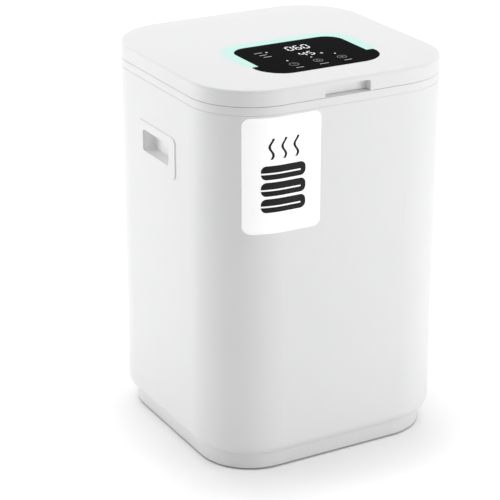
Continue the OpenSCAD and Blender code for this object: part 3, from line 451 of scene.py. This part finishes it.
def label_print():
    """White vinyl with a faint painted glow of its own, and a plain pictogram: three folded towels under
    rising warmth.
    """
    # Painted light: the uninked vinyl glows faintly, so it comes out brighter than the shell beside it
    paint = Paint("label_vinyl", IOR=1.25, Emission_Strength=0.27)
    x, _, z = paint.split()
    # Place on the unrolled label: along it from the start of the corner, and up from its middle
    seam = CORNER - HALF_W
    turned = paint.math("ARCSINE", paint.smaller(paint.larger(seam - x, 0.0) / CORNER, 1.0)) * CORNER
    along = paint.larger(x - seam, 0.0) - turned
    up = z - LABEL_MIDDLE
    ink = 0.0
    half = 27
    for middle in (-34, -15, 4):
        towel = paint.box_distance(along, up, (0, middle), (half, 8), 6.5)
        fold = paint.box_distance(along, up, (-4, middle - 1.0), (half - 2, 0.9), 0.8)
        ink = (1 - paint.fade(towel, -0.15, 0.15)) * paint.fade(fold, -0.15, 0.15) + ink
    sway = paint.math("SINE", up * 0.33) * 2.2
    span = 1 - paint.fade(abs(up - 31), 11.6, 12.2)
    for middle in (-15, 0, 15):
        stroke = 1 - paint.fade(abs(along - sway - middle), 1.35, 1.65)
        ink = ink + stroke * span
    ink = paint.smaller(ink, 1.0)
    grain = paint.noise(0.5, 2.0)
    paint.set(Base_Color=paint.mix(ink, (0.94, 0.94, 0.94), (0.006, 0.006, 0.007)),
              Emission_Color=paint.mix(ink, (1.0, 1.0, 1.0), (0.0, 0.0, 0.0)),
              Roughness=0.24 + grain * 0.06)
    return paint.bump(grain, 0.006, 0.5)


def strip_light():
    """Lit strip: mint by the glass, paler at its outer edge."""
    paint = Paint("strip_glow", IOR=1.45, Emission_Strength=1.0)
    x, y, _ = paint.split()
    outer = paint.fade(panel_distance(paint, x, y, 0, BACK_ROUND), 0.5, 9.5)
    cloud = paint.noise(14, 2.0)
    paint.set(Base_Color=paint.mix(outer, (0.28, 0.52, 0.45), (0.43, 0.60, 0.56)),
              Emission_Color=paint.mix(outer, (0.22, 0.37, 0.33), (0.17, 0.27, 0.25)),
              Roughness=0.3 + cloud * 0.1)
    return paint.bump(cloud, 0.02, 0.4)


def black_panel():
    """Gloss black panel, printed on its underside, with a faint haze of handling."""
    paint = Paint("panel_black", IOR=1.02)
    haze = paint.noise(26, 4.0)
    smears = paint.noise(5, 3.0, (1, 0.3, 1))
    paint.set(Base_Color=paint.mix(haze, (0.0028, 0.0028, 0.0031), (0.0044, 0.0044, 0.0048)),
              Roughness=0.08 + haze * smears * 0.2)
    return paint.bump(smears, 0.002, 0.3)


def mark(name, level):
    """Light behind a sign of the panel, as bright as level, that its print lets through unevenly."""
    paint = Paint(name, Emission_Strength=1.0)
    grain = paint.noise(1.5, 2.0)

    def tint(share):
        return level * share * 0.96, level * share * 0.99, level * share

    return paint.set(Base_Color=paint.mix(grain, tint(0.50), tint(0.62)),
                     Emission_Color=paint.mix(grain, tint(0.42), tint(0.52)),
                     Roughness=0.4 + grain * 0.1)


def lamp():
    """Small lamp behind the panel, warm at its core."""
    paint = Paint("led_white", IOR=1.5, Emission_Strength=0.4)
    core = paint.noise(1.5, 2.0)
    warm = paint.mix(core, (0.86, 0.84, 0.60), (0.95, 0.95, 0.86))
    return paint.set(Base_Color=warm, Emission_Color=warm, Roughness=0.25 + core * 0.1)


FINISHES = {
    "white_plastic": white_moulding(),
    "base_plastic": base_moulding(),
    "liner_plastic": liner_moulding(),
    "grey_rubber": rubber("grey_rubber", (0.035, 0.035, 0.036), (0.075, 0.075, 0.075), 0.7),
    "seal_rubber": rubber("seal_rubber", (0.48, 0.48, 0.48), (0.58, 0.58, 0.57), 0.5),
    "bucket_aluminium": drawn_aluminium(),
    "heater_film": heater_film(),
    "wool": wool(),
    "steel_sheet": sheet_steel("steel_sheet", (0.52, 0.52, 0.53), (0.68, 0.68, 0.69), (1, 0.03, 1)),
    "steel_fastener": sheet_steel("steel_fastener", (0.50, 0.51, 0.53), (0.72, 0.72, 0.72), (1, 1, 0.3)),
    "brown_phenolic": hard_plastic("brown_phenolic", (0.10, 0.035, 0.015), (0.19, 0.08, 0.04), 0.4),
    "ceramic_fuse": hard_plastic("ceramic_fuse", (0.70, 0.67, 0.58), (0.84, 0.82, 0.76), 0.55),
    "black_plastic": hard_plastic("black_plastic", (0.012, 0.012, 0.012), (0.035, 0.035, 0.036), 0.42),
    "board_green": circuit_board(),
    "transformer_core": transformer_core(),
    "relay_blue": hard_plastic("relay_blue", (0.02, 0.09, 0.34), (0.05, 0.17, 0.48), 0.3),
    "terminal_green": hard_plastic("terminal_green", (0.04, 0.26, 0.12), (0.09, 0.40, 0.20), 0.38),
    "lead_red": woven_sleeve("lead_red", (0.26, 0.015, 0.015), (0.50, 0.05, 0.05)),
    "harness_grey": woven_sleeve("harness_grey", (0.045, 0.045, 0.05), (0.16, 0.16, 0.17)),
    "label_vinyl": label_print(),
    "strip_glow": strip_light(),
    "panel_black": black_panel(),
    "led_white": lamp(),
}


def finish_nodes():
    """Every CAD piece takes the finish that the record names for it; the lid has the strip's glow painted
    on too.
    """
    lid_finish = lid_moulding()
    for part in RECORD["subparts"]:
        node = NODES[part["node"]]
        finish = lid_finish if part["node"] == "lid_cover" else FINISHES[part["material_slot"]]
        node.data.materials.clear()
        node.data.materials.append(finish.material)


# Pieces of the panel

def rounded(corners, step=6):
    """Outline through corners (x, y, radius) in millimetres, each turned by an arc of its radius."""
    points = []
    count = len(corners)
    for i, (x, y, radius) in enumerate(corners):
        here = Vector((x, y))
        before = (Vector(corners[i - 1][:2]) - here).normalized()
        after = (Vector(corners[(i + 1) % count][:2]) - here).normalized()
        if radius <= 0:
            points.append(here)
            continue
        half = before.angle(after) / 2
        centre = here + (before + after).normalized() * (radius / math.sin(half))
        first = here + before * (radius / math.tan(half)) - centre
        turn = first.angle_signed(here + after * (radius / math.tan(half)) - centre)
        steps = max(2, round(abs(math.degrees(turn)) / step))
        for k in range(steps + 1):
            angle = -turn * k / steps
            points.append(centre + Vector((first.x * math.cos(angle) - first.y * math.sin(angle),
                                           first.x * math.sin(angle) + first.y * math.cos(angle))))
    return points


def solid(name, flats, low, high, finish, body, bevel=0.0):
    """Solid between two heights over flat faces, which share their common edges."""
    work = bmesh.new()
    for flat in flats:
        work.faces.new([work.verts.new((p[0] * MM, p[1] * MM, low * MM)) for p in flat])
    bmesh.ops.remove_doubles(work, verts=work.verts, dist=1e-6)
    lifted = bmesh.ops.extrude_face_region(work, geom=work.faces[:])["geom"]
    top = [g for g in lifted if isinstance(g, bmesh.types.BMVert)]
    bmesh.ops.translate(work, verts=top, vec=(0, 0, (high - low) * MM))
    bmesh.ops.recalc_face_normals(work, faces=work.faces)
    if bevel:
        level = (high - 0.01) * MM
        rim = [edge for edge in work.edges
               if len(edge.link_faces) == 2 and all(v.co.z > level for v in edge.verts)
               and any(abs(face.normal.z) < 0.5 for face in edge.link_faces)]
        bmesh.ops.bevel(work, geom=rim, offset=bevel * MM, segments=3, profile=0.5, affect="EDGES")
    mesh = bpy.data.meshes.new(name)
    work.to_mesh(mesh)
    work.free()
    mesh.materials.append(finish.material)
    piece = bpy.data.objects.new(name, mesh)
    bpy.context.scene.collection.objects.link(piece)
    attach(piece, body)
    return piece


def panel_outline():
    """The glass: straight sides with round back corners, and a wider front with its own."""
    return rounded([(-WING_HALF, PANEL_FRONT, FRONT_ROUND), (WING_HALF, PANEL_FRONT, FRONT_ROUND),
                    (WING_HALF, HOOK, HOOK_ROUND), (PANEL_HALF, HOOK, 0),
                    (PANEL_HALF, PANEL_BACK, BACK_ROUND), (-PANEL_HALF, PANEL_BACK, BACK_ROUND),
                    (-PANEL_HALF, HOOK, 0), (-WING_HALF, HOOK, HOOK_ROUND)])


def bar(x, y, wide, deep):
    """Rectangle round a centre."""
    u, v = wide / 2, deep / 2
    return [(x - u, y - v), (x + u, y - v), (x + u, y + v), (x - u, y + v)]


def around(x, y, radius, angle):
    """Point on a circle."""
    return x + radius * math.cos(angle), y + radius * math.sin(angle)


def arc(x, y, inner, outer, start=0, end=360, step=15):
    """Band along an arc, as faces that share their edges."""
    count = max(1, round((end - start) / step))
    angles = [math.radians(start + (end - start) * k / count) for k in range(count + 1)]
    return [[around(x, y, inner, a), around(x, y, outer, a), around(x, y, outer, b), around(x, y, inner, b)]
            for a, b in zip(angles, angles[1:])]


def disc(x, y, radius, sides=16):
    """Round dot, as one face."""
    return [[around(x, y, radius, math.tau * k / sides) for k in range(sides)]]


# Lit bars of each figure: a top, b and c right, d bottom, e and f left, g middle
SEGMENTS = {"0": "abcdef", "4": "fgbc", "5": "afgcd", "6": "afgedc"}


def figure(digit, x, y, wide, tall, stroke):
    """Seven-segment figure whose lower left corner is at x, y, and that leans to the right."""
    lean = 0.09
    gap = stroke * 0.3
    half = stroke / 2
    rows = {"d": half, "g": tall / 2, "a": tall - half}
    sides = {"e": (half, half, tall / 2), "c": (wide - half, half, tall / 2),
             "f": (half, tall / 2, tall - half), "b": (wide - half, tall / 2, tall - half)}
    faces = []
    for name in SEGMENTS[digit]:
        if name in rows:
            v, low, high = rows[name], half + gap, wide - half - gap
            shape = [(low, v), (low + half, v - half), (high - half, v - half),
                     (high, v), (high - half, v + half), (low + half, v + half)]
        else:
            u, low, high = sides[name]
            low, high = low + gap, high - gap
            shape = [(u, low), (u + half, low + half), (u + half, high - half),
                     (u, high), (u - half, high - half), (u - half, low + half)]
        faces.append([(x + u + (v - tall / 2) * lean, y + v) for u, v in shape])
    return faces


def panel_figures():
    """Two rows of lit figures and the unit's ring."""
    faces = []
    for i, digit in enumerate("060"):
        faces += figure(digit, -9.0 + i * 10.4, -41.3, 8.4, 16.3, 1.9)
    for i, digit in enumerate("45"):
        faces += figure(digit, -6.2 + i * 10.1, -66.4, 8.0, 14.4, 1.8)
    return faces + arc(18.5, -65.5, 0.8, 1.6)


def mode_lines():
    """Three short lit bars on the left, one for each mode."""
    return [bar(-44.9, -32.5, 10, 1.5), bar(-43.8, -42, 9, 1.5), bar(-42.4, -50, 10.4, 1.5)]


KEYS = (-31, 0, 31)  # X of the timer, warmth and light key
KEY_ROW = -89        # Y of the keys' middles


def key_signs():
    """Signs on the three keys: timer, warmth and light, each in its ring."""
    timer, warmth, light = KEYS
    faces = []
    for x in KEYS:
        faces += arc(x, KEY_ROW, 4.9, 5.7)
    faces += [bar(timer, KEY_ROW + 1.6, 0.8, 3.4), bar(timer + 1.2, KEY_ROW, 3.0, 0.8)]
    faces += arc(warmth, KEY_ROW - 0.4, 1.5, 2.3, 125, 415) + [bar(warmth, KEY_ROW + 2.3, 0.8, 2.6)]
    faces += disc(light, KEY_ROW, 1.1)
    for k in range(8):
        faces += disc(*around(light, KEY_ROW, 2.6, math.tau * k / 8), 0.45, 8)
    return faces


def key_dots():
    """Lit dot over each key, and the one of the chosen mode."""
    return sum((disc(x, KEY_ROW + 15, 1.2) for x in KEYS), []) + disc(-35, -34.3, 1.3)


def key_lines():
    """Short lit bar under each key, a little longer under the middle one."""
    return [bar(x, KEY_ROW - 13.5, 9.5 if x else 11.5, 1.5) for x in KEYS]


def make_panel():
    """Glass with a small bevel in place of the CAD panel, and the signs on it."""
    glass = solid("touch_panel", [panel_outline()], GLASS_LOW, LID_TOP, FINISHES["panel_black"], "lid",
                  0.35)
    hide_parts("control_glass")
    bright, plain, dim = mark("mark_bright", 1.0), mark("mark_plain", 0.42), mark("mark_dim", 0.16)
    signs = (("panel_figures", panel_figures(), bright), ("panel_dots", key_dots(), bright),
             ("panel_mode_lines", mode_lines(), plain), ("panel_key_lines", key_lines(), plain),
             ("panel_key_signs", key_signs(), dim))
    for name, faces, finish in signs:
        solid(name, faces, LID_TOP, LID_TOP + MARK_RISE, finish, "lid")


photo_camera()
studio_lights()
studio_world()
studio_floor()
bpy.context.scene.view_settings.view_transform = "Standard"
finish_nodes()
make_panel()
